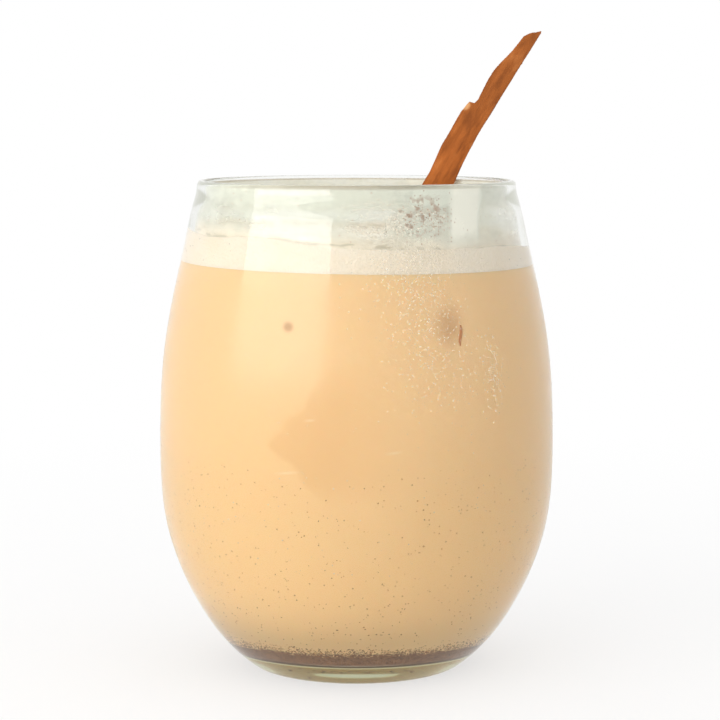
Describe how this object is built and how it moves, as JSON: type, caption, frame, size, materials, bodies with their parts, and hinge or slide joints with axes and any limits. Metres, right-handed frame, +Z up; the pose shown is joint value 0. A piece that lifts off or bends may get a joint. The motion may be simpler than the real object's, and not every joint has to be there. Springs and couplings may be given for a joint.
{
  "type": "iced milk tea in a stemless glass",
  "caption": "Rounded stemless glass of pale orange milk tea with foam on top, settled spice on its floor, an ice cube and a splinter of cinnamon bark leaning on the rim.",
  "frame": {"origin": "centre of the glass's foot, on the surface that it stands on", "axes": "+Z up along the glass's axis, -Y the front, +X to the right; the bark leans to the back right"},
  "size_m": [0.0956, 0.0956, 0.1546],
  "materials": {
    "clear_glass": "smooth, clear, with a faint green tint at the edges",
    "milk_tea": "opaque pale orange liquid",
    "foam": "fine cream foam",
    "settled_spice": "dark brown wet powder",
    "bark": "dry, fibrous",
    "ice": "wet, rounded by melting"
  },
  "bodies": {
    "root": {"glass": "clear_glass", "milk_tea": "milk_tea", "foam": "foam", "spice_sediment": "settled_spice", "cinnamon_bark": "bark", "ice_cube": "ice"}
  },
  "joints": []
}
